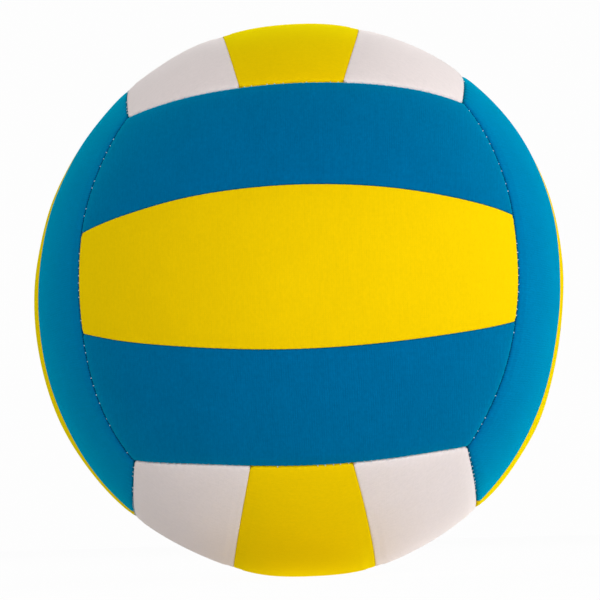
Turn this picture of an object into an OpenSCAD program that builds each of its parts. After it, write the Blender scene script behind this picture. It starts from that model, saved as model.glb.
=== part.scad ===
// A size 5 volleyball: eighteen padded panels sewn round an inflated bladder.
// The origin is the ball's centre, +Z is up and the front group of panels faces -Y.
// The panels lie in six groups of three. A group's ends meet the long edges of the next
// groups, so all the seams lie in planes and three long edges meet at each corner.
// A soft ball is a little out of round, so its three diameters are set apart.

/* [Ball] */
// Diameter from side to side
ball_w = 206; // [200:0.5:216]
// Diameter from the front to the valve
ball_d = 210; // [200:0.5:216]
// Diameter from top to bottom
ball_h = 214; // [200:0.5:216]

/* [Seam pattern] */
// Angle from the middle of a group to its two inner seams, in degrees
inner_seam_tilt = 15.4; // [13:0.1:18]
// Tilt of the plane that a group's long edge lies in, in degrees
edge_seam_tilt = 17.5; // [14:0.1:22]

/* [Panel layers] */
// Thickness of the knit-faced skin
skin_t = 1.1; // [0.8:0.1:1.6]
// Thickness of the foam pad behind the skin
foam_t = 4; // [2:0.25:5]
// Thickness of the cloth lining behind the foam
cloth_t = 0.5; // [0.3:0.1:1]

/* [Seams] */
// Width of the groove over a seam
groove_w = 1; // [0.9:0.1:2]
// Depth of the groove over a seam
groove_depth = 1.2; // [0.9:0.1:2]
// Diameter of the sewing thread
thread_d = 0.6; // [0.4:0.05:0.8]
// Gap between the turned-in edges of two panels
seam_gap = 0.1; // [0.05:0.05:0.3]

/* [Bladder] */
// Wall of the rubber bladder
bladder_t = 0.9; // [0.6:0.1:1.5]
// Diameter of the balance patch opposite the valve
balance_patch_d = 30; // [20:1:40]
// Thickness of the balance patch
balance_patch_t = 1.6; // [1:0.1:3]

/* [Valve] */
// Distance from the skin down to the valve's face
valve_sink = 0.5; // [0.2:0.1:1]
// Diameter of the boot's neck, which shows through the skin
neck_d = 9; // [8.6:0.2:12]
// Diameter of the boot's stem inside the bladder
stem_d = 11; // [10.6:0.2:14]
// Length of the boot's stem below its flange
stem_l = 12; // [10:0.5:16]
// Diameter of the boot's flange
flange_d = 30; // [24:1:40]
// Thickness of the boot's flange
flange_t = 1.2; // [0.8:0.1:2]
// Diameter of the cloth patch round the valve hole
valve_patch_d = 34; // [24:1:40]
// Diameter of the valve core's head
core_head_d = 6.4; // [6.2:0.1:7]
// Thickness of the valve core's head
core_head_t = 1.4; // [1:0.1:2]
// Diameter of the valve core's shank
core_d = 5; // [4.4:0.1:5.4]
// Length of the valve core
core_l = 18; // [16:0.5:20]
// Diameter of the rib that holds the valve core in its boot
rib_d = 6; // [5.8:0.1:6.6]
// Length of that rib
rib_l = 2; // [1:0.1:3]
// Distance from the valve's face to that rib
rib_depth = 9; // [6:0.5:11]
// Diameter of the hole that the inflating needle enters
needle_d = 1.9; // [1.6:0.1:2.4]
// Depth of that hole, down to the closed slit at the core's tip
needle_depth = 14; // [10:0.5:15]
// Diameter of the dimple that leads the needle in
dimple_d = 3.2; // [2.8:0.1:4]
// Depth of that dimple
dimple_depth = 0.8; // [0.5:0.1:1]

/* [Fits] */
// Glue line between the layers of a panel
glue_gap = 0.05; // [0.02:0.01:0.1]
// Gap between the bladder and the panels that it presses on
bladder_gap = 0.1; // [0.05:0.05:0.3]
// Glue line round the boot's neck in the bladder, and round the valve patch
bond_gap = 0.05; // [0.02:0.01:0.1]
// Gap round the boot's neck in the skin, the foam and the lining
neck_gap = 0.2; // [0.1:0.05:0.4]
// Gap round the valve core in its boot
core_gap = 0.05; // [0.02:0.01:0.1]
// Gap under a thread and at its ends
thread_gap = 0.05; // [0.02:0.01:0.1]

/* [Hidden] */
BLUE = [0.02, 0.42, 0.63];
YELLOW = [0.91, 0.77, 0.02];
WHITE = [0.89, 0.86, 0.85];
FOAM = [0.83, 0.81, 0.76];
CLOTH = [0.80, 0.78, 0.72];
THREAD = [0.86, 0.90, 0.93];
RUBBER = [0.13, 0.13, 0.14];
PALE_RUBBER = [0.88, 0.87, 0.84];

// Each group: name, then the directions along its panels, outwards and across them,
// the names of its outer panels on the low and high side of across, and their colour.
GROUPS = [
    ["front", [-1, 0, 0], [0, -1, 0], [0, 0, 1], "lower", "upper", BLUE],
    ["back", [1, 0, 0], [0, 1, 0], [0, 0, 1], "lower", "upper", BLUE],
    ["left", [0, 0, -1], [-1, 0, 0], [0, 1, 0], "front", "back", BLUE],
    ["right", [0, 0, 1], [1, 0, 0], [0, 1, 0], "front", "back", BLUE],
    ["top", [0, 1, 0], [0, 0, 1], [1, 0, 0], "left", "right", WHITE],
    ["bottom", [0, -1, 0], [0, 0, -1], [1, 0, 0], "left", "right", WHITE]
];
// The three panels of a group, by their side of its middle
SIDES = [-1, 0, 1];
VALVE_GROUP = "back";

function panel_name(g, side) = str(g[0], "_", side < 0 ? g[4] : side > 0 ? g[5] : "middle");
function panel_colour(g, side) = side == 0 ? YELLOW : g[6];

// The ball is worked out as a sphere of its depth, and squash() gives it its three diameters.
ball_r = ball_d / 2;
skin_in_r = ball_r - skin_t;
foam_r = skin_in_r - glue_gap;
foam_in_r = foam_r - foam_t;
cloth_r = foam_in_r - glue_gap;
inside_r = cloth_r - cloth_t;
groove_r = ball_r - groove_depth;
bladder_r = inside_r - bladder_gap;
bladder_in_r = bladder_r - bladder_t;

// Where three long edges meet, all three coordinates are the same.
corner = ball_r / sqrt(3);
// Distance of each long edge's plane from the centre
edge_offset = corner * (cos(edge_seam_tilt) - sin(edge_seam_tilt));
// The skin turns in under the groove's edge, and the foam starts behind it.
tray_inset = groove_w / 2 + skin_t;
pad_inset = tray_inset + glue_gap;

valve_face = ball_r - valve_sink;
stem_top = bladder_in_r - flange_t / 2;
stem_end = bladder_in_r - flange_t - stem_l;

thread_in_r = groove_r + thread_gap;
thread_out_r = thread_in_r + thread_d;

overrun = 1;
beyond = 2 * ball_r;
round_fn = 96;

module squash() {
    scale([ball_w / ball_d, 1, ball_h / ball_d]) children();
}

module ball(radius) {
    sphere(r = radius, $fn = round_fn);
}

module shell(inner, outer) {
    difference() {
        ball(outer);
        ball(inner);
    }
}

// Turns a group's own frame (X along, Y outwards, Z across) to its place on the ball
module in_group(g) {
    multmatrix([for (i = [0:2]) [g[1][i], g[2][i], g[3][i], 0]]) children();
}

// Everything on the middle's side of a plane that is turned about X and lies off the centre
module inside_of(tilt, offset) {
    rotate([tilt, 0, 0])
        translate([-beyond, -beyond, offset - beyond])
            cube([2 * beyond, 2 * beyond, beyond]);
}

// Everything beyond such a plane
module outside_of(tilt, offset) {
    rotate([tilt, 0, 0])
        translate([-beyond, -beyond, offset])
            cube([2 * beyond, 2 * beyond, beyond]);
}

// The length of a group, between the long edges of the groups at its ends
module between_ends(inset) {
    for_both_ends() rotate([0, 0, edge_seam_tilt])
        translate([-beyond, edge_offset + inset, -beyond])
            cube([2 * beyond, beyond, 2 * beyond]);
}

module for_both_ends() {
    intersection() {
        children();
        mirror([1, 0, 0]) children();
    }
}

// The wedge that one panel fills, drawn in from its seams by inset
module panel_space(side, inset) {
    if (side == 0) {
        intersection() {
            between_ends(inset);
            inside_of(inner_seam_tilt, -inset);
            mirror([0, 0, 1]) inside_of(inner_seam_tilt, -inset);
        }
    } else {
        intersection() {
            between_ends(inset);
            mirror([0, 0, side < 0 ? 1 : 0]) outer_panel_space(inset);
        }
    }
}

module outer_panel_space(inset) {
    intersection() {
        outside_of(inner_seam_tilt, inset);
        inside_of(edge_seam_tilt, edge_offset - inset);
    }
}

// A round hole or plug along the valve's axis, between two distances from the centre
module on_valve_axis(from, to, d1, d2) {
    rotate([-90, 0, 0]) translate([0, 0, from])
        cylinder(h = to - from, d1 = d1, d2 = d2, $fn = round_fn);
}

module valve_hole(diameter) {
    on_valve_axis(stem_end, ball_r + overrun, diameter, diameter);
}

module with_valve_hole(g, side, diameter) {
    if (g[0] == VALVE_GROUP && side == 0) {
        difference() {
            children();
            valve_hole(diameter);
        }
    } else {
        children();
    }
}

// The skin of one panel is a shallow tray: its edges turn in beside the foam to the seam.
module panel_skin(g, side) {
    color(panel_colour(g, side)) with_valve_hole(g, side, neck_d + 2 * neck_gap)
        squash() in_group(g) difference() {
            union() {
                intersection() {
                    shell(inside_r, groove_r);
                    panel_space(side, seam_gap / 2);
                }
                intersection() {
                    shell(inside_r, ball_r);
                    panel_space(side, groove_w / 2);
                }
            }
            intersection() {
                ball(skin_in_r);
                panel_space(side, tray_inset);
            }
        }
}

module panel_foam(g, side) {
    color(FOAM) with_valve_hole(g, side, neck_d + 2 * neck_gap)
        squash() in_group(g) intersection() {
            shell(foam_in_r, foam_r);
            panel_space(side, pad_inset);
        }
}

// The cloth round the valve hole is cut away for the valve patch.
module panel_lining(g, side) {
    with_valve_hole(g, side, valve_patch_d + 2 * bond_gap)
        squash() in_group(g) intersection() {
            shell(inside_r, cloth_r);
            panel_space(side, pad_inset);
        }
}

module linings(g) {
    color(CLOTH) for (side = SIDES) panel_lining(g, side);
}

// The threads of a seam and of its twin across the group lie in the bottom of their grooves.
module thread_pair(tilt, offset) {
    module one_thread() {
        intersection() {
            shell(thread_in_r, thread_out_r);
            between_ends(groove_w / 2 + thread_gap);
            inside_of(tilt, offset + thread_d / 2);
            outside_of(tilt, offset - thread_d / 2);
        }
    }
    one_thread();
    mirror([0, 0, 1]) one_thread();
}

module inner_threads(g) {
    color(THREAD) squash() in_group(g) thread_pair(inner_seam_tilt, 0);
}

module edge_threads(g) {
    color(THREAD) squash() in_group(g) thread_pair(edge_seam_tilt, edge_offset);
}

module bladder() {
    color(RUBBER) difference() {
        squash() shell(bladder_in_r, bladder_r);
        valve_hole(neck_d + 2 * bond_gap);
    }
}

module balance_patch() {
    color(RUBBER) intersection() {
        squash() shell(bladder_in_r - balance_patch_t, bladder_in_r);
        mirror([0, 1, 0]) on_valve_axis(0, ball_r, balance_patch_d, balance_patch_d);
    }
}

// The boot is bonded to the bladder's inside by its flange, and holds the valve core.
module valve_boot() {
    color(PALE_RUBBER) difference() {
        union() {
            intersection() {
                squash() shell(bladder_in_r - flange_t, bladder_in_r);
                on_valve_axis(0, ball_r, flange_d, flange_d);
            }
            on_valve_axis(stem_end, stem_top, stem_d, stem_d);
            on_valve_axis(stem_top, valve_face, neck_d, neck_d);
        }
        on_valve_axis(stem_end - overrun, valve_face + overrun,
            core_d + 2 * core_gap, core_d + 2 * core_gap);
        on_valve_axis(valve_face - core_head_t - core_gap, valve_face + overrun,
            core_head_d + 2 * core_gap, core_head_d + 2 * core_gap);
        on_valve_axis(valve_face - rib_depth - rib_l - core_gap, valve_face - rib_depth + core_gap,
            rib_d + 2 * core_gap, rib_d + 2 * core_gap);
    }
}

module valve_core() {
    color(RUBBER) difference() {
        union() {
            on_valve_axis(valve_face - core_l, valve_face, core_d, core_d);
            on_valve_axis(valve_face - core_head_t, valve_face, core_head_d, core_head_d);
            on_valve_axis(valve_face - rib_depth - rib_l, valve_face - rib_depth, rib_d, rib_d);
        }
        on_valve_axis(valve_face - needle_depth, valve_face + overrun, needle_d, needle_d);
        on_valve_axis(valve_face - dimple_depth, valve_face, needle_d, dimple_d);
    }
}

module valve_patch() {
    color(CLOTH) difference() {
        intersection() {
            squash() shell(inside_r, cloth_r);
            on_valve_axis(0, ball_r, valve_patch_d, valve_patch_d);
        }
        valve_hole(neck_d + 2 * neck_gap);
    }
}

for (g = GROUPS, side = SIDES) {
    panel_skin(g, side);
    panel_foam(g, side);
}
for (g = GROUPS) {
    linings(g);
    inner_threads(g);
    edge_threads(g);
}
bladder();
balance_patch();
valve_boot();
valve_core();
valve_patch();
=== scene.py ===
"""The looks of a volleyball sewn from eighteen padded panels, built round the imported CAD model."""
import math

import bmesh
import bpy
import numpy as np
from bpy.props import FloatProperty, FloatVectorProperty, IntProperty, PointerProperty
from mathutils import Matrix, Vector


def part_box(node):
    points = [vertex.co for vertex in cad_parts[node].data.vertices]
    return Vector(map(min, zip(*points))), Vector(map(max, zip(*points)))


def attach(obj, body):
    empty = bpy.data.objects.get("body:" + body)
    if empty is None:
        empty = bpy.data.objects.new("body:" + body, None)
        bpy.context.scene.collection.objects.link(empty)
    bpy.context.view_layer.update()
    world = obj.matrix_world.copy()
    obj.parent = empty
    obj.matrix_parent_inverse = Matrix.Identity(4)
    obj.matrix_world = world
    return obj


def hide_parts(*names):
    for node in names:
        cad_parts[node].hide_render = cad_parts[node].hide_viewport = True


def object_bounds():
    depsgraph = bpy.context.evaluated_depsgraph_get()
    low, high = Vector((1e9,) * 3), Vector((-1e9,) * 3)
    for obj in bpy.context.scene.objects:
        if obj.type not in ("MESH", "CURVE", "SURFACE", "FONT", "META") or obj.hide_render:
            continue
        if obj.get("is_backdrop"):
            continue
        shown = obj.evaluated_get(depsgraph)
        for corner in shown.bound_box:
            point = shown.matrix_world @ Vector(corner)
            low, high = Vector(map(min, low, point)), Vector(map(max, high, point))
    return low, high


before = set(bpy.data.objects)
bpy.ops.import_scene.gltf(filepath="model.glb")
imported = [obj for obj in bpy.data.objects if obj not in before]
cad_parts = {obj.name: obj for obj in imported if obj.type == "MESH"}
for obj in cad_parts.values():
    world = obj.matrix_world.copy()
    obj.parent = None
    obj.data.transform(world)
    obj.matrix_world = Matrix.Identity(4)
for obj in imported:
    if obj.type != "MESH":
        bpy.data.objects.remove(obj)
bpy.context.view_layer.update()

bl_info = {
    "name": "Sewn volleyball",
    "version": (1, 0, 0),
    "blender": (4, 5, 0),
    "location": "3D View > Sidebar > Volleyball",
    "description": "Sews, fills, stitches and lights a volleyball of eighteen padded panels",
    "category": "Mesh",
}

MM = 0.001
BODY = "root"

# Three panels side by side make a group, and each group has its own frame on the ball.
GROUPS = (
    # name, along the panels, outwards, across them, names of its two outer panels, their colour
    ("front", "-X", "-Y", "+Z", "lower", "upper", "blue"),
    ("back", "+X", "+Y", "+Z", "lower", "upper", "blue"),
    ("left", "-Z", "-X", "+Y", "front", "back", "blue"),
    ("right", "+Z", "+X", "+Y", "front", "back", "blue"),
    ("top", "+Y", "+Z", "+X", "left", "right", "white"),
    ("bottom", "-Y", "-Z", "+X", "left", "right", "white"),
)
VALVE_PANEL = "back_middle"

# A knit's dye, then how much its shade varies, its colour's scale in a seam (painted shade below
# 1, painted light above 1), and the painted sheen by which its nap's lie lightens or deepens it.
KNITS = (
    ("blue", 1.5, 0.42, 0.08),
    ("yellow", 0.5, 1.0, 0.0),
    ("white", 0.5, 1.1, 0.0),
)
# Painted sheen: by its nap's lie a group's knit is painted paler (1) or deeper (-1), for light it
# catches.
PAINTED_SHEEN_WAYS = {"front": -1, "back": -1, "left": 1, "right": 1, "top": 0, "bottom": 0}

# How the blown-up and handled ball stands off from a true one: degrees round from the
# front and up, reach in degrees, then millimetres to the right, up and out. The last seven rows
# were set one by one. In the others the millimetres were solved and rounded by a least-squares
# fit in another script, so they are data and not a design.
PULLS = (
    ("left shoulder", -40, 40, 22, 0.5, -1.5, 3),
    ("right shoulder", 40, 40, 22, 2, -0.5, 3.5),
    ("left hip", -40, -36, 22, 2, 2, 2.5),
    ("right hip", 40, -36, 22, 0, 2, 2.5),
    ("brow", 0, 38, 20, 0, -0.5, -1),
    ("chin", 0, -38, 20, 0.5, -1, -1),
    ("left cheek", -42, 0, 20, -1.5, -0.5, -3),
    ("right cheek", 42, 0, 20, 1, 0, -1),
    ("front, below its middle", 0, -14, 20, -1, -0.5, 1.5),
    ("right side", 85, 5, 22, 2, 1, -0.5),
    ("left side", -85, 5, 22, 0, 0, -1.5),
    ("crown", 0, 80, 22, 0, 0.5, -2),
    ("upper right corner", 75, 45, 22, 2, 1.5, 0.5),
    ("upper left corner", -75, 45, 22, 0, 3, -3.5),
    ("lower right corner", 75, -45, 22, -4, 0, 2),
    ("lower left corner", -75, -45, 22, -1.5, -3, -1),
    ("above the right side", 80, 20, 15, 1, 1, 2),
    ("upper left seam", -52, 27, 12, -1, -0.5, 0),
    ("lower left seam", -50, -30, 12, -3.5, -2.5, 0),
    ("upper right seam", 52, 25, 12, 1.5, -1, 0),
    ("lower right seam", 52, -30, 12, 0.5, -2, 0),
    ("front panel's upper left end", -50, 11, 9, -0.5, 0.5, 0),
    ("front panel's upper right end", 50, 12, 9, 0.5, 1.5, 0),
    ("front panel's lower left end", -50, -10, 9, 0, 1, 0),
    ("front panel's lower right end", 50, -9, 9, 1, 0, 0),
    ("under, left of the middle", -86, -80, 7, 0, 0, 1),
    ("under, right of the middle", 86, -77, 7, 0, 0, 1),
    ("under the left hip", -87, -64, 7, 0, 0, -0.5),
    ("under the right hip", 87, -59, 7, 0, 0, -0.5),
    ("right side, below its middle", 84, -13, 8, 0, 0, -0.5),
    ("crown, right of its middle", 62, 62, 7, 0, 0, -0.5),
    ("crown's right seam", 23, 60, 10, 0.5, 0, 0),
)

# Rows of a panel's grid near its edge: millimetres from the seam, then how far down from the
# surface, at a seam inside a group and at one between groups.
INNER, OUTER = 1, 2
SKIN_ROLL = ((0.06, 4.5, 4.5), (0.03, 1.6, 2.6), (0.015, 0.27, 1.7), (0.07, 0.15, 1.0),
             (0.14, 0.09, 0.6), (0.35, 0.04, 0.36), (0.75, 0.02, 0.2), (1.3, 0.01, 0.1),
             (2.0, 0.0, 0.03), (3.0, 0.0, 0.0))
PAD_ROLL = ((1.15, 2.0, 2.3), (1.2, 1.5, 1.8), (1.45, 1.2, 1.4), (1.9, 1.05, 1.15),
            (2.6, 1.0, 1.0))
GATHER = {INNER: 0.05, OUTER: 0.25}  # how far, in mm, the stitches draw an edge in at each seam
GATHER_REACH = 1.4  # mm from the seam where they no longer draw it in
DEEP_SEAM = 0.45  # share of the distance from a seam between groups that the knit counts: its painted seam shade and tucks reach further there
WELD = 1e-6  # metres within which points are one
# Rows round the valve opening: millimetres from its edge, and down from the surface.
HOLE_ROLL = ((0, 0.8), (0.1, 0.45), (0.25, 0.22), (0.5, 0.08), (0.9, 0.0))
HOLE_SQUARE = 4  # half side in mm of the square in the grid that becomes the round opening
HOLE_FADE = 12  # mm from the valve's axis where the grid is square again
PAD_CLEAR = 0.1  # mm by which the pad's opening is wider than its cover's
GLUE = 0.05  # mm between a pad and the lining under it

RIPPLES = 9  # waves that make the skin's faint unevenness
RIPPLE_TURNS = (14, 30)  # how fast they go up and down, in radians over one radius
RIPPLE_SEED = 11

STITCH_RUN = 7  # stitches over which the tension changes, so that they show in runs
RUN_SHARE = 0.6  # how much of a stitch's slack is its run's and not its own
SEAM_END = 1.2  # mm at a seam's end with no stitch
PITCH_VARIES = 0.05  # share of the pitch by which a stitch strays
DEPTH_VARIES = 0.06  # mm by which a stitch lies higher or deeper
LEANS = (0.6, 0.5)  # middle and spread of a stitch's lean, as shares of the lean that is set
AHEAD = 1e-4  # small turn along a seam, in radians, that gives its direction

SOFT_EDGE, EDGE_STEPS = 0.12, 3  # how far in mm the rubber's edges are cut back, in how many steps
ROUND_STEPS = 64  # steps round the valve
FLANGE_BEND = 0.7  # share of the flange's radius where its section has one more point

# Each lamp's name in Studio, and where it stands: degrees round from the front and up.
LAMPS = (("key", 40, 8), ("front", 5, 0), ("right", 110, 12), ("left", -110, 25))
LAMP_DISTANCE, LAMP_SIZE = 2.2, 1.9  # metres
SENSOR = 36  # width of the camera's sensor in mm
FLOOR_SIZE = 12  # half side in metres
FLOOR_GAP = 0.05  # mm between the ball and the floor
FLOOR_SEEN = 0.96  # share of the room's paleness that the camera sees on the floor
FLOOR_GLOW = 1.02  # how bright that paleness is, against the room's
UNDER_GLOW, UNDER_RADIUS = 0.7, 55  # painted light, a glow under the ball that lights it from below: its share in the middle, and mm


# Sizes and colours that a user would change

def number(name, text, default, **kind):
    return FloatProperty(name=name, description=text, default=default, **kind)


def length(name, text, millimetres):
    return number(name, text, millimetres * MM, unit="LENGTH", precision=5)


def angle(name, text, degrees):
    return number(name, text, math.radians(degrees), unit="ROTATION")


def share(name, text, default):
    return number(name, text, default, min=0, max=1, subtype="FACTOR")


def colour(name, text, red, green, blue):
    """A colour written as screen values from 0 to 255."""
    def linear(value):
        value /= 255
        return value / 12.92 if value <= 0.04045 else ((value + 0.055) / 1.055) ** 2.4
    return FloatVectorProperty(name=name, description=text, subtype="COLOR", size=3, min=0, max=1,
                               default=(linear(red), linear(green), linear(blue)))


def cad_size():
    """Width, depth and height of the CAD model's skins, in millimetres, to the nearest half."""
    boxes = [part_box(name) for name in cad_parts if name.endswith("_skin")]
    sides = (max(high[i] for _, high in boxes) - min(low[i] for low, _ in boxes) for i in range(3))
    return [round(side / MM * 2) / 2 for side in sides]


class BallForm(bpy.types.PropertyGroup):
    """The ball's size, its pattern of seams and how true it is"""
    box = cad_size()
    width: length("Width", "Diameter from side to side", box[0])
    depth: length("Depth", "Diameter from the front to the valve", box[1])
    height: length("Height", "Diameter from bottom to top", box[2])
    inner_tilt: angle("Inner seam tilt", "Angle of a group's inner seams from its middle", 15.4)
    edge_tilt: angle("Edge seam tilt", "Angle of the seams between groups from flat ones", 17.5)
    settled: share("Settled", "How much of the handled ball's uneven shape is used", 1)
    crown: length("Crown", "Rise of a panel's middle over its edges", 0.35)
    ripple: length("Ripple", "Height of the skin's faint unevenness", 0.12)


class PanelMake(bpy.types.PropertyGroup):
    """How a panel's skin and pad are made"""
    skin: length("Skin", "Thickness of the cover's cloth", 0.9)
    core_depth: length("Core depth", "Depth where nothing follows the skin's uneven shape", 5.15)
    corner: length("Corner", "Radius of a panel's corners", 1.6)
    skin_step: length("Skin grid", "Distance between the skin's rows", 1)
    pad_step: length("Pad grid", "Distance between the pad's rows", 2.5)
    opening: length("Opening", "Radius of the hole for the valve", 4.7)


class StitchMake(bpy.types.PropertyGroup):
    """How the seams are stitched"""
    pitch: length("Pitch", "Distance between stitches", 2.8)
    thread: length("Thread", "Thickness of the thread", 0.42)
    reach: length("Reach", "Length of a stitch across the seam", 0.85)
    shown: length("Shown", "Depth of a stitch that shows in the seam", 0.5)
    sunk: length("Sunk", "Depth of a stitch that the seam hides", 1.3)
    edge_share: share("Edge seams", "Share of stitches that show between groups", 0.6)
    inner_share: share("Inner seams", "Share of stitches that show inside a group", 0.15)
    lean: angle("Lean", "How much a stitch leans from straight across", 14)
    seed: IntProperty(name="Seed", description="Picks which stitches show", default=4)


class ValveMake(bpy.types.PropertyGroup):
    """The rubber boot and core of the valve"""
    face: length("Face", "Distance of the valve's face from the ball's centre", 104.5)
    neck: length("Neck", "Radius of the boot's neck", 4.5)
    stem: length("Stem", "Radius of the boot's stem inside the bladder", 5.5)
    stem_end: length("Stem end", "Distance of the stem's inner end from the centre", 85.1)
    flange: length("Flange", "Radius of the boot's flange", 15)
    flange_top: length("Flange top", "Distance of the flange's top from the centre", 98.2)
    flange_t: length("Flange thickness", "Thickness of the flange", 1.1)
    head: length("Head", "Radius of the core's head", 3.2)
    head_t: length("Head thickness", "Thickness of the core's head", 1.4)
    shank: length("Shank", "Radius of the core's shank", 2.5)
    core: length("Core", "Length of the core", 18)
    rib: length("Rib", "Radius of the rib that holds the core", 3)
    rib_at: length("Rib depth", "Depth of that rib below the face", 9)
    rib_l: length("Rib length", "Length of that rib", 2)
    needle: length("Needle", "Radius of the needle's channel", 0.95)
    channel: length("Channel", "Depth of the needle's channel", 14)
    dimple: length("Dimple", "Radius of the dimple that leads the needle in", 1.6)
    dimple_t: length("Dimple depth", "Depth of that dimple", 0.8)
    fit: length("Fit", "Gap between core and boot", 0.05)


class Dyes(bpy.types.PropertyGroup):
    """Colours of the cloth, thread, foam and rubber"""
    blue: colour("Blue", "Knit of the blue panels", 0, 105, 160)
    yellow: colour("Yellow", "Knit of the yellow panels", 246, 206, 4)
    white: colour("White", "Knit of the white panels", 239, 227, 225)
    blue_nap: colour("Blue nap", "Light that the blue knit's fine hairs catch", 0, 200, 222)
    yellow_nap: colour("Yellow nap", "Light that the yellow knit's fine hairs catch", 255, 244, 10)
    white_nap: colour("White nap", "Light that the white knit's fine hairs catch", 255, 248, 246)
    thread: colour("Thread", "Waxed sewing thread", 214, 234, 244)
    foam: colour("Foam", "Closed-cell foam of the pads", 236, 234, 226)
    lining: colour("Lining", "Woven lining under the foam", 214, 208, 194)
    rubber: colour("Rubber", "Butyl rubber of the bladder and the core", 34, 34, 36)
    boot: colour("Boot", "Pale rubber of the valve's boot", 206, 202, 192)
    floor: colour("Floor", "Plain pale floor", 246, 246, 246)


class Studio(bpy.types.PropertyGroup):
    """Camera and lamps"""
    distance: length("Distance", "Camera to the ball's centre", 856)
    turn: angle("Turn", "Where the camera looks, round from straight ahead", 0)
    rise: angle("Rise", "How far up the camera looks", 6.26)
    roll: angle("Roll", "Tilt of the picture", -1.64)
    drift_right: length("Drift right", "Ball's centre, right of the picture's", -1.77)
    drift_up: length("Drift up", "Ball's centre, above the picture's", 1.01)
    lens: number("Lens", "Focal length on a 36 mm sensor", 131.5, unit="CAMERA")
    room: number("Room", "Strength of the pale room's light", 0.22)
    wall: number("Wall", "How bright the room and the floor look", 0.985)
    key: number("Key", "Power of the soft lamp at the front right", 21.5, unit="POWER")
    front: number("Front", "Power of the low soft lamp in front", 28, unit="POWER")
    right: number("Right", "Power of the soft lamp at the right, behind", 30, unit="POWER")
    left: number("Left", "Power of the soft lamp at the left, behind", 14.5, unit="POWER")


class Volleyball(bpy.types.PropertyGroup):
    """Everything about the ball that a user may change"""
    form: PointerProperty(type=BallForm)
    panels: PointerProperty(type=PanelMake)
    stitches: PointerProperty(type=StitchMake)
    valve: PointerProperty(type=ValveMake)
    dyes: PointerProperty(type=Dyes)
    studio: PointerProperty(type=Studio)


# Node trees

class Wire:
    """A node's output that can be used like a number."""

    def __init__(self, tree, socket):
        self.tree, self.socket = tree, socket

    def maths(self, operation, *others):
        return node(self.tree, "Math", dict(operation=operation), dict(enumerate((self, *others))))

    def __add__(self, other):
        return self.maths("ADD", other)

    def __sub__(self, other):
        return self.maths("SUBTRACT", other)

    def __rsub__(self, other):
        return (self * -1) + other

    def __mul__(self, other):
        return self.maths("MULTIPLY", other)

    def __truediv__(self, other):
        return self.maths("DIVIDE", other)

    __radd__, __rmul__ = __add__, __mul__

    def between(self, low, high, start=0.0, end=1.0):
        """Runs smoothly from start to end as the value goes from low to high."""
        return node(self.tree, "MapRange", dict(interpolation_type="SMOOTHSTEP"),
                    {0: self, 1: low, 2: high, 3: start, 4: end})

    def wave(self, pitch):
        """A ridge from 0 to 1 at each multiple of the pitch."""
        return (self * (2 * math.pi / pitch)).maths("COSINE") * 0.5 + 0.5


def node(tree, kind, settings=None, inputs=None, output=0):
    """Adds a node of any kind, with its settings and its inputs by name or number."""
    made = tree.nodes.new("ShaderNode" + kind)
    for name, value in (settings or {}).items():
        setattr(made, name, value)
    for key, value in (inputs or {}).items():
        if isinstance(value, Wire):
            tree.links.new(value.socket, made.inputs[key])
        else:
            made.inputs[key].default_value = value
    return Wire(tree, made.outputs[output]) if made.outputs else None


def mixed(tree, factor, first, second):
    """Two colours mixed by a factor."""
    return node(tree, "Mix", dict(data_type="RGBA"), {0: factor, 6: first, 7: second}, 2)


def noise(tree, place, size, detail=2.0, roughness=0.5):
    """Soft noise round 0, about the given size in the units of place."""
    return node(tree, "TexNoise", None, dict(Vector=place, Scale=1 / size, Detail=detail,
                                             Roughness=roughness)) - 0.5


def parts(tree, vector):
    """The three numbers of a vector."""
    split = node(tree, "SeparateXYZ", None, {0: vector}).socket.node
    return [Wire(tree, out) for out in split.outputs]


def solid(colour):
    return (*colour, 1)


def scaled(tree, colour, by):
    """A colour made lighter or darker from place to place."""
    return node(tree, "VectorMath", dict(operation="SCALE"), {0: colour, 3: by})


def on_object(tree):
    """Place on the object, in metres."""
    return node(tree, "TexCoord", None, None, 3)


def new_material(name):
    """A material and its tree, which is empty."""
    material = bpy.data.materials.new(name)
    material.use_nodes = True
    material.node_tree.nodes.clear()
    return material, material.node_tree


def finished(material, inputs, height=None):
    """Gives a material its shader; height is in millimetres."""
    tree = material.node_tree
    if height is not None:
        inputs["Normal"] = node(tree, "Bump", None, dict(Height=height, Strength=1.0, Distance=MM))
    shader = node(tree, "BsdfPrincipled", None, inputs)
    node(tree, "OutputMaterial", None, {0: shader})
    return material


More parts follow.
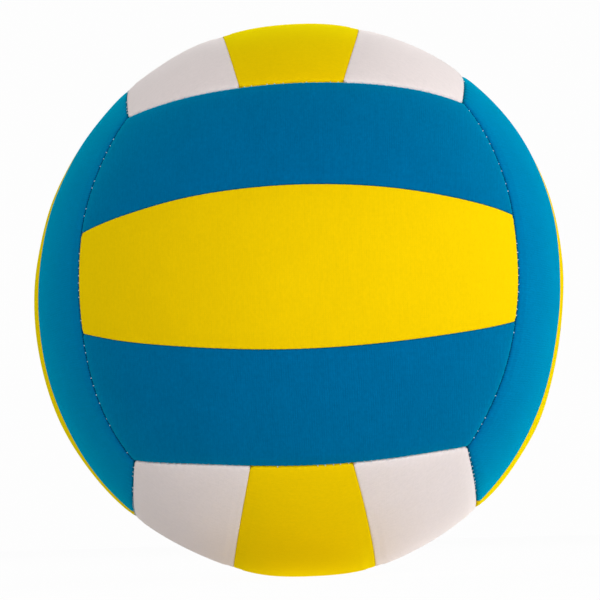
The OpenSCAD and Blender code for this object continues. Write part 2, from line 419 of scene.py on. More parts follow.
def knit_material(name, cloth, nap, fleck, groove, pile, pitch):
    """Fine-ribbed knit drawn in at the stitches, with painted seam shade and painted sheen, as KNITS
    says.
    """
    material, tree = new_material(name)
    maps = {m: parts(tree, node(tree, "UVMap", dict(uv_map=m))) for m in ("cloth", "sides", "ends")}
    along, across, _ = maps["cloth"]
    on_cloth = node(tree, "UVMap", dict(uv_map="cloth"))

    wale, course = 0.8, 0.62  # mm from rib to rib, and from loop to loop along a rib
    uneven = noise(tree, on_cloth, 5, 3, 0.6)
    rib_at = along + uneven * 1.1
    rib = rib_at.wave(wale)
    slant = (rib_at / wale).maths("FRACT").maths("SUBTRACT", 0.5).maths("ABSOLUTE")
    loop = (across + slant * course + uneven * 0.6).wave(course)
    tall = node(tree, "CombineXYZ", None, {0: along, 1: across * 0.6})
    grain = noise(tree, tall, 0.95, 2, 0.75)
    streak = noise(tree, node(tree, "CombineXYZ", None, {0: along, 1: across * 0.12}), 1.2, 3, 0.7)
    mottle = noise(tree, on_cloth, 16, 4, 0.6)
    fuzz = noise(tree, on_cloth, 0.25, 2, 0.6)
    strength = noise(tree, tall, 4, 2).between(-0.2, 0.25, 0.1, 1.0)

    tucks, gap = None, None
    for run, distance, _ in maps["sides"], maps["ends"]:
        tuck = run.wave(pitch) * distance.between(0.1, 1.6, 1.0, 0.0)
        tucks = tuck if tucks is None else tucks.maths("MAXIMUM", tuck)
        gap = distance if gap is None else gap.maths("MINIMUM", distance)
    height = (rib * 0.018 + rib * loop * 0.018) * strength + grain * 0.025 + fuzz * 0.02 \
        - tucks * 0.1 + mottle * 0.08

    shade = grain * 0.3 + streak * 0.15 + mottle * 0.1 + (rib * loop - 0.3) * strength * 0.12
    lie = parts(tree, node(tree, "UVMap", dict(uv_map="pile")))[0]
    edge = gap + (rib - 0.5) * 0.1
    # Painted sheen: each group's knit is lightened or deepened by its nap's way times the knit's
    # share.
    base = scaled(tree, tuple(cloth), shade * fleck + lie * pile + 1.0)
    # Painted seam shade: near a seam the colour is scaled by groove, darker below 1, lighter above
    # 1; edge is the distance from the seam, jittered along the ribs.
    base = scaled(tree, base, edge.between(0.06, 0.28, groove, 1.0))
    return finished(material, {
        "Base Color": base,
        "Roughness": 0.72 + fuzz * 0.12 - rib * 0.05,
        "Specular IOR Level": 0.0,
        "Specular Tint": solid(nap),
        "Sheen Weight": 0.8,
        "Sheen Roughness": 0.5,
        "Sheen Tint": solid(nap),
    }, height)


def thread_material(name, tone):
    """Two-ply waxed thread; its map runs round each stitch and along it."""
    material, tree = new_material(name)
    around, end_to_end, _ = parts(tree, node(tree, "UVMap", dict(uv_map="twist")))
    ply = (around * 2 + end_to_end * 5).wave(1)
    base = mixed(tree, ply, solid(Vector(tone) * 0.72), solid(tone))
    return finished(material, {"Base Color": base, "Roughness": 0.5 + ply * 0.1,
                               "Specular IOR Level": 0.4}, ply * 0.05)


def foam_material(name, tone):
    """Closed-cell foam: small round cells, cut through at the surface."""
    material, tree = new_material(name)
    place = on_object(tree)
    cells = node(tree, "TexVoronoi", None, dict(Vector=place, Scale=1 / (0.6 * MM)))
    cloudy = noise(tree, place, 8 * MM, 3)
    base = scaled(tree, tuple(tone), cells * -0.12 + cloudy * 0.08 + 1.03)
    return finished(material, {"Base Color": base, "Roughness": 0.85 + cloudy * 0.1}, cells * 0.12)


def lining_material(name, tone):
    """Plain-woven lining, stiff with latex glue."""
    material, tree = new_material(name)
    place = on_object(tree)
    x, y, z = parts(tree, place)
    yarn = 0.55 * MM
    warp, weft = (x + y).wave(yarn), (z + y * 0.5).wave(yarn)
    weave = warp.maths("MAXIMUM", weft)
    glue = noise(tree, place, 11 * MM, 4).between(0.02, 0.2)
    shade = weave * 0.14 + noise(tree, place, 2.5 * MM) * 0.12 + 0.9
    base = mixed(tree, glue * 0.35, scaled(tree, tuple(tone), shade),
                 solid(Vector(tone) * 0.75))
    return finished(material, {"Base Color": base, "Roughness": 0.9 - glue * 0.25}, weave * 0.08)


def rubber_material(name, tone, grain, roughness):
    """Moulded rubber with a fine grain and a dusting of talc."""
    material, tree = new_material(name)
    place = on_object(tree)
    fine, broad = noise(tree, place, grain * MM, 3, 0.6), noise(tree, place, 7 * MM, 4)
    talc = broad.between(0.0, 0.22) * 0.18
    base = mixed(tree, talc, solid(tone), solid(Vector(tone) * 0.5 + Vector((0.3, 0.3, 0.3))))
    return finished(material, {
        "Base Color": base,
        "Roughness": fine * 0.15 + talc * 0.6 + roughness,
        "Specular IOR Level": 0.4,
    }, fine * 0.03 + broad * 0.05)


def floor_material(name, tone, wall):
    """Matt floor, as pale as the room to the camera, with a painted glow under the ball that lights
    it from below.
    """
    material, tree = new_material(name)
    place = on_object(tree)
    shade = noise(tree, place, 0.3, 2) * 0.02 + 1.0
    base = scaled(tree, tuple(tone), shade)
    matt = node(tree, "BsdfPrincipled", None,
                {"Base Color": base, "Roughness": 0.8, "Specular IOR Level": 0.1})
    glow = node(tree, "Emission", None, {0: (1, 1, 1, 1), 1: wall * FLOOR_GLOW})
    x, y, _ = parts(tree, place)
    # Painted light: under the ball the floor glows to all rays, so it lights the ball's underside.
    under = (x * x + y * y).maths("SQRT").between(0, UNDER_RADIUS * MM, UNDER_GLOW, 0)
    share_glowing = (seen_directly(tree) * FLOOR_SEEN).maths("MAXIMUM", under)
    floor = node(tree, "MixShader", None, {0: share_glowing, 1: matt, 2: glow})
    node(tree, "OutputMaterial", None, {0: floor})
    return material


def seen_directly(tree):
    """1 for what the camera sees, itself or in a shiny or clear surface."""
    path = node(tree, "LightPath").socket.node
    camera, glossy, clear = (Wire(tree, path.outputs["Is " + ray + " Ray"])
                             for ray in ("Camera", "Glossy", "Transmission"))
    return camera.maths("MAXIMUM", glossy).maths("MAXIMUM", clear)


# The ball's pattern

def axis(name):
    """A unit vector from a name such as -X."""
    vector = [0.0, 0.0, 0.0]
    vector["XYZ".index(name[1])] = -1.0 if name[0] == "-" else 1.0
    return vector


def towards(azimuth, elevation):
    """The direction of a place on the ball, degrees round from the front and up."""
    a, e = math.radians(azimuth), math.radians(elevation)
    return np.array([math.sin(a) * math.cos(e), -math.cos(a) * math.cos(e), math.sin(e)])


class Pattern:
    """Where the seams run, with directions in a group's frame: x along its panels, y out of the
    ball and z across the panels."""

    def __init__(self, ball):
        form = ball.form
        self.inner, self.edge = form.inner_tilt, form.edge_tilt
        self.offset = (math.cos(self.edge) - math.sin(self.edge)) / math.sqrt(3)
        self.half = np.array([form.width, form.depth, form.height]) / 2
        self.radius = form.depth / 2
        self.form, self.panels, self.pitch = form, ball.panels, ball.stitches.pitch
        waves = np.random.default_rng(RIPPLE_SEED)
        turns = waves.normal(size=(RIPPLES, 3))
        turns /= np.linalg.norm(turns, axis=1)[:, None]
        self.turns = turns * waves.uniform(*RIPPLE_TURNS, (RIPPLES, 1))
        self.phases = waves.uniform(0, 2 * math.pi, RIPPLES)

    def circle(self, v, side):
        """Tilt and offset of the circle of a panel's row; v is -1 to 1 across the panel."""
        if side == 0:
            return v * self.inner, v * 0
        w = (v + 1) / 2
        return self.inner + (self.edge - self.inner) * w, self.offset * w

    def end_angle(self, tilt, offset):
        """Angle along such a circle from the panel's middle to its end seam."""
        a, b = np.cos(tilt) * math.cos(self.edge), math.sin(self.edge)
        reach = (self.offset + offset * np.sin(tilt) * math.cos(self.edge))
        return np.arccos(reach / (np.sqrt(1 - offset ** 2) * np.hypot(a, b))) - np.arctan2(b, a)

    def on_circle(self, tilt, offset, turn, side):
        """The direction at an angle along a circle."""
        ring = np.sqrt(1 - offset ** 2)
        out = np.stack([ring * np.sin(turn),
                        -offset * np.sin(tilt) + ring * np.cos(turn) * np.cos(tilt),
                        offset * np.cos(tilt) + ring * np.cos(turn) * np.sin(tilt)], -1)
        out[..., 2] *= -1 if side < 0 else 1
        return out

    def direction(self, u, v, side):
        """The direction of a place in a panel; u and v are -1 to 1 along and across it."""
        tilt, offset = self.circle(v, side)
        return self.on_circle(tilt, offset, u * self.end_angle(tilt, offset), side)

    def half_length(self, v, side):
        """From a panel's middle to its end, along a row."""
        tilt, offset = self.circle(v, side)
        return self.radius * np.sqrt(1 - offset ** 2) * self.end_angle(tilt, offset)

    def half_width(self, u, side):
        """From a panel's middle to its side, measured in steps at a few places along it."""
        us, vs = np.linspace(0, 1, 33), np.linspace(-1, 1, 17)
        spots = self.direction(*np.meshgrid(us, vs, indexing="ij"), side)
        widths = np.linalg.norm(np.diff(spots, axis=1), axis=2).sum(1) / 2 * self.radius
        return np.interp(np.abs(u), us, widths)

    def spread(self, columns, rows, side):
        """Directions of grid points, from their share of the half size and their distance from
        the edge; each round brings the two closer together."""
        (u_share, u_edge), (v_share, v_edge) = columns, rows
        u, v = u_share, v_share
        for _ in range(4):
            u, v = (u_share * (1 - u_edge / self.half_length(v, side)),
                    v_share * (1 - v_edge / self.half_width(u, side)))
        return self.direction(u, v, side)

    def seam_maps(self, d, side):
        """Millimetres on the cloth, and along and from the nearest long seam and end seam."""
        x, y = d[:, 0], d[:, 1]
        z = d[:, 2] * (-1 if side < 0 else 1)
        inner, edge = self.inner, self.edge

        def arc(sine):
            return np.arcsin(sine) * self.radius / MM

        if side == 0:
            gap = arc(y * math.sin(inner) - np.abs(z) * math.cos(inner))
        else:
            gap = np.minimum(arc(z * math.cos(inner) - y * math.sin(inner)), DEEP_SEAM * (
                arc(self.offset) - arc(z * math.cos(edge) - y * math.sin(edge))))
        end_gap = arc(y * math.cos(edge) - np.abs(x) * math.sin(edge)) - arc(self.offset)
        ring = math.sqrt(1 - self.offset ** 2) * self.radius / MM
        run = np.arctan2(x, y * math.cos(edge) + z * math.sin(edge)) * (
            ring if side else self.radius / MM)
        end_run = np.arctan2(z, np.abs(x) * math.cos(edge) + y * math.sin(edge)) * ring
        return {"cloth": np.stack([arc(x), arc(z)], 1), "sides": np.stack([run, gap], 1),
                "ends": np.stack([end_run, end_gap * DEEP_SEAM], 1)}

    def lift(self, way):
        """Faint unevenness of the surface, in metres."""
        waves = np.sin(way @ self.turns.T + self.phases).sum(1)
        return waves / math.sqrt(RIPPLES) * self.form.ripple

    def settle(self, way):
        """Moves directions by the pulls, and gives how far out each of them goes, in metres."""
        shift, out = np.zeros_like(way), np.zeros(len(way))
        for _, azimuth, elevation, reach, right, up, outwards in PULLS:
            centre = towards(azimuth, elevation)
            to_right = np.array([-centre[1], centre[0], 0])
            to_right /= np.linalg.norm(to_right)
            to_up = np.cross(centre, to_right)
            to_up *= math.copysign(1, to_up[2])
            width = 2 * math.sin(math.radians(reach) / 2)
            near = np.exp(-((way - centre) ** 2).sum(1) / (2 * width ** 2)) * self.form.settled * MM
            shift += near[:, None] * (right * to_right + up * to_up) / self.radius
            out += near * outwards
        way = way + shift
        return way / np.linalg.norm(way, axis=1)[:, None], out

    def place(self, axes, d, depth, rise=0.0):
        """Points in metres, at a depth below the ball's own surface."""
        way = d @ axes
        moved, out = self.settle(way)
        out = (out + self.lift(way) + rise) * np.clip(1 - depth / self.panels.core_depth, 0, 1)
        return moved * self.half * (1 + (out - depth) / self.radius)[:, None]


def group_axes(*names):
    """A group's frame on the ball, from the names of its three axes."""
    return np.array([axis(name) for name in names])


def panel_list():
    """Name, axes, side and colour of each of the eighteen panels."""
    for name, along, out, across, low, high, outer in GROUPS:
        axes = group_axes(along, out, across)
        for side, part, dye in ((-1, low, outer), (0, "middle", "yellow"), (1, high, outer)):
            yield name + "_" + part, axes, side, dye


# Meshes

def grid_rows(half, step, roll, seams, hole):
    """Rows from one edge of a panel to the other: share of the half size, distance from the edge,
    depth, distance from the panel's middle, and how far the stitches of the nearer seam draw it in.
    The seams are the kinds at the two edges."""
    last = roll[-1][0] * MM
    flat = half - last
    inside = np.linspace(-1, 1, max(3, round(2 * flat / step)) + 1)[1:-1]
    if hole:
        ring = [(HOLE_SQUARE + away) * MM / flat for away, _ in HOLE_ROLL]
        core = np.linspace(0, 1, 6)[:-1] * HOLE_SQUARE * MM / flat
        keep = inside[np.abs(inside) > ring[-1] + step / flat / 2]
        inside = np.unique(np.concatenate([keep, ring, core, np.negative(ring), -core]).round(9))
    edges = [row[0] * MM for row in roll]
    low, high = ([row[seam] * MM for row in roll] for seam in seams)
    count = len(inside)
    return np.array([
        [-1] * len(roll) + list(inside) + [1] * len(roll),
        edges + [last] * count + edges[::-1],
        low + [0] * count + high[::-1],
        [half] * len(roll) + list(np.abs(inside) * flat) + [half] * len(roll),
        [GATHER[seams[0]] * MM] * len(roll) + [0] * count + [GATHER[seams[1]] * MM] * len(roll),
    ])


def panel_grid(pattern, side, step, roll, hole):
    """A bmesh grid for a panel, and the numbers of the column and the row of each point."""
    middle = np.array(0.0)
    halves = float(pattern.half_length(middle, side)), float(pattern.half_width(middle, side))
    seams = (OUTER, OUTER), (INNER, OUTER if side else INNER)
    across, up = (grid_rows(half, step, roll, pair, hole) for half, pair in zip(halves, seams))
    steps = across.shape[1] - 1, up.shape[1] - 1
    bm = bmesh.new()
    bmesh.ops.create_grid(bm, x_segments=steps[0], y_segments=steps[1], size=1)
    if hole:
        bm.faces.ensure_lookup_table()
        i, j = np.floor(grid_numbers(bm, steps, faces=True)).astype(int).T
        cut = np.flatnonzero(hole_steps(across)[i] & hole_steps(up)[j])
        bmesh.ops.delete(bm, geom=[bm.faces[face] for face in cut], context="FACES")
    i, j = np.rint(grid_numbers(bm, steps)).astype(int).T
    return bm, across[:, i], up[:, j]


def grid_numbers(bm, steps, faces=False):
    """How many steps along and up a grid its points lie, or the middles of its faces."""
    mesh = bpy.data.meshes.new("grid")
    bm.to_mesh(mesh)
    at = read(mesh.polygons, "center") if faces else read(mesh.vertices, "co")
    bpy.data.meshes.remove(mesh)
    return (at[:, :2] + 1) / 2 * steps


def read(items, name):
    """A vector of each vertex or face, as an array."""
    values = np.empty(len(items) * 3, dtype=np.float32)
    items.foreach_get(name, values)
    return values.reshape(-1, 3)


def hole_steps(rows):
    """Which steps between rows lie in the square that becomes the valve's opening."""
    middle = np.sign(rows[0]) * rows[3]
    centre = (middle[1:] + middle[:-1]) / 2
    return np.abs(centre) < HOLE_SQUARE * MM


def rounded_corners(columns, rows, radius):
    """Distances from the two edges, with the corners of the panel rounded."""
    a, b = columns[1], rows[1]
    near = (a < radius) & (b < radius) & (np.abs(columns[0]) == 1) & (np.abs(rows[0]) == 1)
    x, y = np.maximum(radius - a, 1e-9), np.maximum(radius - b, 1e-9)
    squeeze = np.where(near, np.maximum(x, y) / np.hypot(x, y), 1)
    return np.where(near, radius - x * squeeze, a), np.where(near, radius - y * squeeze, b)


def gathers(edge, distance, along, pitch):
    """How far the stitches draw a panel in at one pair of its edges."""
    run = along[0] * (along[3].max() - along[1])
    fade = np.clip(1 - distance / (GATHER_REACH * MM), 0, 1)
    return edge[4] * fade * (1 + np.cos(run * (2 * math.pi / pitch))) / 2


def panel_points(pattern, side, columns, rows, hole, radius):
    """Directions and depths of a panel's grid points."""
    pitch = pattern.pitch
    a, b = rounded_corners(columns, rows, pattern.panels.corner)
    a, b = a + gathers(columns, a, rows, pitch), b + gathers(rows, b, columns, pitch)
    d = pattern.spread((columns[0], a), (rows[0], b), side)
    deepest = np.maximum(columns[2], rows[2]).max()
    depth = np.minimum((columns[2] ** 3 + rows[2] ** 3) ** (1 / 3), deepest)
    inward_u, inward_v = (1 - (at[3] / at[3].max()) ** 2 for at in (columns, rows))
    rise = pattern.form.crown * np.clip(inward_u * inward_v, 0, 1) ** 0.5
    if hole:
        ring = np.maximum(columns[3], rows[3]) / MM
        spot = d[:, [0, 2]] * pattern.radius / MM
        way = np.arctan2(spot[:, 1], spot[:, 0])
        hole_r = radius / MM
        wide = hole_r + (ring - HOLE_SQUARE) * (HOLE_FADE - hole_r) / (HOLE_FADE - HOLE_SQUARE)
        fade = np.clip((ring - HOLE_SQUARE) / (HOLE_FADE - HOLE_SQUARE), 0, 1)
        fade = (fade * fade * (3 - 2 * fade))[:, None]
        spot = (1 - fade) * np.stack([np.cos(way), np.sin(way)], 1) * wide[:, None] + fade * spot
        spot *= MM / pattern.radius
        d = np.stack([spot[:, 0], np.sqrt(1 - (spot ** 2).sum(1)), spot[:, 1]], 1)
        away, down = np.array(HOLE_ROLL).T
        depth = np.maximum(depth, np.interp(ring - HOLE_SQUARE, away, down) * MM)
        rise = rise * 0
    return d, depth, rise


def make_mesh(bm, name):
    """A mesh from a bmesh, which is freed."""
    mesh = bpy.data.meshes.new(name)
    bm.to_mesh(mesh)
    bm.free()
    return mesh


def weld(mesh, closed):
    """Merges the points that lie on each other, and turns the faces outwards."""
    bm = bmesh.new()
    bm.from_mesh(mesh)
    bmesh.ops.remove_doubles(bm, verts=bm.verts, dist=WELD)
    if closed:
        bmesh.ops.recalc_face_normals(bm, faces=bm.faces)
    bm.to_mesh(mesh)
    bm.free()
    outwards = (read(mesh.polygons, "normal") * read(mesh.polygons, "center")).sum()
    if not closed and outwards < 0:
        mesh.flip_normals()


def add_piece(mesh, material, slot, *nodes):
    """Makes an object of a mesh, riding on the ball and standing for CAD nodes."""
    mesh.shade_smooth()
    mesh.materials.append(material)
    piece = bpy.data.objects.new(mesh.name, mesh)
    bpy.context.scene.collection.objects.link(piece)
    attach(piece, BODY)
    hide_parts(*nodes)
    return piece


def add_map(mesh, name, values):
    """A UV map from one pair of numbers for each vertex."""
    corners = np.empty(len(mesh.loops), dtype=np.int32)
    mesh.loops.foreach_get("vertex_index", corners)
    layer = mesh.uv_layers.new(name=name, do_init=False)
    layer.uv.foreach_set("vector", values[corners].astype(np.float32).ravel())


def skin_piece(pattern, name, axes, side, material, slot):
    """A panel's cover: knit cloth with its edges rolled down into the seams."""
    panels, hole = pattern.panels, name == VALVE_PANEL
    bm, columns, rows = panel_grid(pattern, side, panels.skin_step, SKIN_ROLL, hole)
    mesh = make_mesh(bm, name + "_cover")
    d, depth, rise = panel_points(pattern, side, columns, rows, hole, panels.opening)
    mesh.vertices.foreach_set("co", pattern.place(axes, d, depth, rise).ravel())
    for label, values in pattern.seam_maps(d, side).items():
        add_map(mesh, label, values)
    # Each point carries its group's painted sheen way, read by the knit's colour.
    add_map(mesh, "pile", np.full((len(d), 2), PAINTED_SHEEN_WAYS[name.split("_")[0]]))
    weld(mesh, closed=False)
    piece = add_piece(mesh, material, slot, name + "_skin")
    wall = piece.modifiers.new("cloth thickness", "SOLIDIFY")
    wall.thickness, wall.offset = panels.skin, -1


def pad_piece(pattern, name, axes, side, material):
    """The foam under a panel's cover: like the cover above, and level with the lining below."""
    panels, hole = pattern.panels, name == VALVE_PANEL
    bm, columns, rows = panel_grid(pattern, side, panels.pad_step, PAD_ROLL, hole)
    bmesh.ops.extrude_face_region(bm, geom=bm.faces[:], use_keep_orig=True)
    mesh = make_mesh(bm, name + "_pad")
    under = np.arange(len(mesh.vertices)) < columns.shape[1]
    columns, rows = np.tile(columns, 2), np.tile(rows, 2)
    if columns.shape[1] != len(mesh.vertices):
        raise RuntimeError("the pad %s has lost some of its points" % name)
    d, depth, rise = panel_points(pattern, side, columns, rows, hole,
                                  panels.opening + PAD_CLEAR * MM)
    depth = np.where(under, panels.core_depth - GLUE * MM,
                     np.maximum(depth, PAD_ROLL[-1][1] * MM))
    mesh.vertices.foreach_set("co", pattern.place(axes, d, depth, rise).ravel())
    weld(mesh, closed=True)
    piece = add_piece(mesh, material, "foam", name + "_foam")


def stitch_piece(pattern, name, axes, tilt, offset, share_shown, material, make, chance):
    """The stitches of a seam and of its twin across the group."""
    bead = bmesh.new()
    bead.loops.layers.uv.new("twist")
    bmesh.ops.create_uvsphere(bead, u_segments=8, v_segments=6, radius=1, calc_uvs=True)
    bead = make_mesh(bead, "one_stitch")
    bm = bmesh.new()
    end = float(pattern.end_angle(np.array(tilt), np.array(offset)))
    ring = math.sqrt(1 - offset ** 2) * pattern.radius
    count = int((end * ring - SEAM_END * MM) / make.pitch)
    for side in (-1, 1):
        turns = np.arange(-count, count + 1) * make.pitch / ring
        turns = turns + chance.normal(0, PITCH_VARIES, len(turns)) * make.pitch / ring
        knots = np.arange(0, len(turns) + STITCH_RUN, STITCH_RUN)
        slack = np.interp(np.arange(len(turns)), knots, chance.random(len(knots)))
        slack = slack * RUN_SHARE + chance.random(len(turns)) * (1 - RUN_SHARE)
        shown = slack > np.quantile(slack, 1 - share_shown)
        depth = np.where(shown, make.shown, make.sunk)
        depth += chance.normal(0, DEPTH_VARIES * MM, len(turns))
        places, ahead = (pattern.place(axes, pattern.on_circle(tilt, offset, at, side), depth)
                         for at in (turns, turns + AHEAD))
        for place, run, lean in zip(places, ahead - places, chance.normal(*LEANS, len(turns))):
            up = Vector(place).normalized()
            run = Vector(run).normalized()
            over = Matrix.Rotation(make.lean * lean, 3, up) @ up.cross(run)
            turn = Matrix((up, over.cross(up), over)).transposed().to_4x4()
            size = Matrix.Diagonal((make.thread / 2, make.thread / 2, make.reach / 2, 1))
            stitch = bead.copy()
            stitch.transform(Matrix.Translation(place) @ turn @ size)
            bm.from_mesh(stitch)
            bpy.data.meshes.remove(stitch)
    bpy.data.meshes.remove(bead)
    add_piece(make_mesh(bm, name.replace("threads", "stitches")), material, "thread", name)


def spun(points, name, material, slot, node_name, closed):
    """A piece turned about the valve's axis; its points are radius and distance from the centre."""
    bm = bmesh.new()
    verts = [bm.verts.new((radius, along, 0)) for radius, along in points]
    pairs = list(zip(verts, verts[1:] + verts[:1])) if closed else list(zip(verts, verts[1:]))
    edges = [bm.edges.new(pair) for pair in pairs]
    corners = verts if closed else verts[1:-1]
    bmesh.ops.bevel(bm, geom=corners, affect="VERTICES", offset=SOFT_EDGE * MM,
                    offset_type="OFFSET", segments=EDGE_STEPS, profile=0.5, material=-1,
                    clamp_overlap=True)
    bmesh.ops.spin(bm, geom=bm.verts[:] + bm.edges[:], cent=(0, 0, 0), axis=(0, 1, 0),
                   dvec=(0, 0, 0), angle=2 * math.pi, steps=ROUND_STEPS, use_merge=True)
    bmesh.ops.remove_doubles(bm, verts=bm.verts, dist=WELD)
    bmesh.ops.dissolve_degenerate(bm, edges=bm.edges, dist=WELD)
    bmesh.ops.recalc_face_normals(bm, faces=bm.faces)
    add_piece(make_mesh(bm, name), material, slot, node_name)


# Operators

class VOLLEYBALL_OT_sew_covers(bpy.types.Operator):
    """Makes the eighteen knit covers, with their edges rolled into the seams"""
    bl_idname = "volleyball.sew_covers"
    bl_label = "Sew covers"

    def execute(self, context):
        ball = context.scene.volleyball
        dyes, pattern = ball.dyes, Pattern(ball)
        knits = {dye: knit_material(dye + "_knit", getattr(dyes, dye), getattr(dyes, dye + "_nap"),
                                    fleck, groove, pile, ball.stitches.pitch / MM)
                 for dye, fleck, groove, pile in KNITS}
        for name, axes, side, dye in panel_list():
            skin_piece(pattern, name, axes, side, knits[dye], dye + "_skin")
        return {"FINISHED"}


class VOLLEYBALL_OT_fill_pads(bpy.types.Operator):
    """Makes the foam pad under each cover"""
    bl_idname = "volleyball.fill_pads"
    bl_label = "Fill pads"

    def execute(self, context):
        ball = context.scene.volleyball
        pattern, foam = Pattern(ball), foam_material("pad_foam", ball.dyes.foam)
        for name, axes, side, _ in panel_list():
            pad_piece(pattern, name, axes, side, foam)
        return {"FINISHED"}


class VOLLEYBALL_OT_stitch_seams(bpy.types.Operator):
    """Lays the stitches in all the seams"""
    bl_idname = "volleyball.stitch_seams"
    bl_label = "Stitch seams"

    def execute(self, context):
        ball = context.scene.volleyball
        pattern, make = Pattern(ball), ball.stitches
        thread = thread_material("sewing_thread", ball.dyes.thread)
        chance = np.random.default_rng(make.seed)
        for name, along, out, across, *_ in GROUPS:
            axes = group_axes(along, out, across)
            stitch_piece(pattern, name + "_inner_threads", axes, pattern.inner, 0.0,
                         make.inner_share, thread, make, chance)
            stitch_piece(pattern, name + "_edge_threads", axes, pattern.edge, pattern.offset,
                         make.edge_share, thread, make, chance)
        return {"FINISHED"}


class VOLLEYBALL_OT_fit_valve(bpy.types.Operator):
    """Turns the valve's rubber boot and core, with softened edges"""
    bl_idname = "volleyball.fit_valve"
    bl_label = "Fit valve"

    def execute(self, context):
        ball = context.scene.volleyball
        v, dyes = ball.valve, ball.dyes
        seat = v.face - v.head_t - v.fit
        groove = (v.face - v.rib_at + v.fit, v.face - v.rib_at - v.rib_l - v.fit)
        bore, pocket, notch = v.shank + v.fit, v.head + v.fit, v.rib + v.fit
        sag = v.flange_top - math.sqrt(v.flange_top ** 2 - v.flange ** 2)
        low = v.flange_top - v.flange_t
        bend, bend_sag = v.flange * FLANGE_BEND, sag * FLANGE_BEND ** 2
        boot = [(pocket, v.face), (v.neck, v.face), (v.neck, v.flange_top),
                (bend, v.flange_top - bend_sag), (v.flange, v.flange_top - sag),
                (v.flange * 0.99, low - sag), (bend, low - bend_sag), (v.stem, low),
                (v.stem, v.stem_end), (bore, v.stem_end), (bore, groove[1]), (notch, groove[1]),
                (notch, groove[0]), (bore, groove[0]), (bore, seat), (pocket, seat)]
        spun(boot, "valve_boot_rubber", rubber_material("boot_rubber", dyes.boot, 0.35, 0.55),
             "boot_rubber", "valve_boot", closed=True)
        tail, rib = v.face - v.core, v.face - v.rib_at
        core = [(0, tail), (v.shank, tail), (v.shank, rib - v.rib_l), (v.rib, rib - v.rib_l),
                (v.rib, rib), (v.shank, rib), (v.shank, v.face - v.head_t),
                (v.head, v.face - v.head_t), (v.head, v.face), (v.dimple, v.face),
                (v.needle, v.face - v.dimple_t), (v.needle, v.face - v.channel),
                (0, v.face - v.channel)]
        spun(core, "valve_core_rubber", rubber_material("core_rubber", dyes.rubber, 0.3, 0.5),
             "core_rubber", "valve_core", closed=False)
        return {"FINISHED"}


class VOLLEYBALL_OT_finish_insides(bpy.types.Operator):
    """Gives the linings, the bladder and its patches their cloth and rubber"""
    bl_idname = "volleyball.finish_insides"
    bl_label = "Finish insides"

    def execute(self, context):
        dyes = context.scene.volleyball.dyes
        lining = lining_material("lining_cloth", dyes.lining)
        rubber = rubber_material("bladder_rubber", dyes.rubber, 0.5, 0.6)
        finishes = {name + "_linings": lining for name, *_ in GROUPS}
        finishes.update(valve_patch=lining, bladder=rubber, balance_patch=rubber)
        for name, material in finishes.items():
            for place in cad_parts[name].material_slots:
                place.material = material
        return {"FINISHED"}


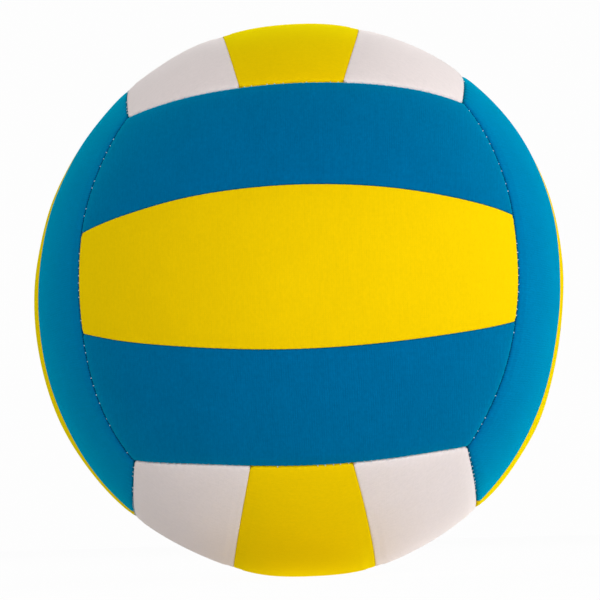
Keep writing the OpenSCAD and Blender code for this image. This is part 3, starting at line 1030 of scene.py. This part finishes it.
class VOLLEYBALL_OT_set_stage(bpy.types.Operator):
    """Sets the pale floor, the room, the soft lamps and the camera"""
    bl_idname = "volleyball.set_stage"
    bl_label = "Set stage"

    def execute(self, context):
        scene, ball = context.scene, context.scene.volleyball
        studio = ball.studio
        scene.view_settings.view_transform = "Standard"
        self.floor(scene, floor_material("studio_floor", ball.dyes.floor, studio.wall))
        self.room(scene, studio.room, studio.wall)
        for name, azimuth, elevation in LAMPS:
            self.lamp(scene, name + "_lamp", azimuth, elevation, getattr(studio, name))
        self.camera(scene, studio)
        return {"FINISHED"}

    def floor(self, scene, material):
        """A level floor just under the ball."""
        bm = bmesh.new()
        bmesh.ops.create_grid(bm, x_segments=1, y_segments=1, size=FLOOR_SIZE)
        bmesh.ops.translate(bm, verts=bm.verts, vec=(0, 0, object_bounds()[0].z - FLOOR_GAP * MM))
        mesh = make_mesh(bm, "studio_floor")
        mesh.materials.append(material)
        floor = bpy.data.objects.new("studio_floor", mesh)
        scene.collection.objects.link(floor)
        floor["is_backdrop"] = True

    def room(self, scene, strength, wall):
        """A pale room that looks brighter than the light it gives."""
        world = bpy.data.worlds.new("studio_room")
        world.use_nodes = True
        tree = world.node_tree
        tree.nodes.clear()
        level = seen_directly(tree) * (wall - strength) + strength
        light = node(tree, "Background", None, {0: (1, 1, 1, 1), 1: level})
        node(tree, "OutputWorld", None, {0: light})
        scene.world = world

    def lamp(self, scene, name, azimuth, elevation, watts):
        """A round soft lamp that faces the ball."""
        light = bpy.data.lights.new(name, "AREA")
        light.shape, light.size, light.energy = "DISK", LAMP_SIZE, watts
        lamp = bpy.data.objects.new(name, light)
        way = Vector(towards(azimuth, elevation))
        lamp.location = way * LAMP_DISTANCE
        lamp.rotation_euler = way.to_track_quat("Z", "Y").to_euler()
        scene.collection.objects.link(lamp)

    def camera(self, scene, studio):
        """The camera, placed by where it looks and where the ball lies in its picture."""
        turn, rise, roll = studio.turn, studio.rise, studio.roll
        forward = Vector((math.sin(turn) * math.cos(rise), math.cos(turn) * math.cos(rise),
                          math.sin(rise)))
        level = Vector((math.cos(turn), -math.sin(turn), 0))
        upright = level.cross(forward)
        right = math.cos(roll) * level + math.sin(roll) * upright
        up = math.cos(roll) * upright - math.sin(roll) * level
        lens = bpy.data.cameras.new("camera")
        lens.lens, lens.sensor_width, lens.clip_start = studio.lens, SENSOR, 10 * MM
        camera = bpy.data.objects.new("camera", lens)
        at = -(right * studio.drift_right + up * studio.drift_up + forward * studio.distance)
        facing = Matrix((right, up, -forward)).transposed().to_4x4()
        camera.matrix_world = Matrix.Translation(at) @ facing
        scene.collection.objects.link(camera)
        scene.camera = camera


STEPS = (VOLLEYBALL_OT_sew_covers, VOLLEYBALL_OT_fill_pads, VOLLEYBALL_OT_stitch_seams,
         VOLLEYBALL_OT_fit_valve, VOLLEYBALL_OT_finish_insides, VOLLEYBALL_OT_set_stage)


class VOLLEYBALL_PT_build(bpy.types.Panel):
    """Lists the steps that build the ball, and its sizes and colours"""
    bl_idname = "VOLLEYBALL_PT_build"
    bl_label = "Volleyball"
    bl_space_type = "VIEW_3D"
    bl_region_type = "UI"
    bl_category = "Volleyball"

    def draw(self, context):
        for step in STEPS:
            self.layout.operator(step.bl_idname)
        ball = context.scene.volleyball
        for group in (ball.form, ball.panels, ball.stitches, ball.valve, ball.dyes, ball.studio):
            box = self.layout.box()
            for name in group.__annotations__:
                box.prop(group, name)


CLASSES = (BallForm, PanelMake, StitchMake, ValveMake, Dyes, Studio, Volleyball, *STEPS,
           VOLLEYBALL_PT_build)


def register():
    for cls in CLASSES:
        bpy.utils.register_class(cls)
    bpy.types.Scene.volleyball = PointerProperty(type=Volleyball)


def unregister():
    del bpy.types.Scene.volleyball
    for cls in reversed(CLASSES):
        bpy.utils.unregister_class(cls)


def main():
    register()
    bpy.ops.volleyball.sew_covers()
    bpy.ops.volleyball.fill_pads()
    bpy.ops.volleyball.stitch_seams()
    bpy.ops.volleyball.fit_valve()
    bpy.ops.volleyball.finish_insides()
    bpy.ops.volleyball.set_stage()


if __name__ == "__main__":
    main()
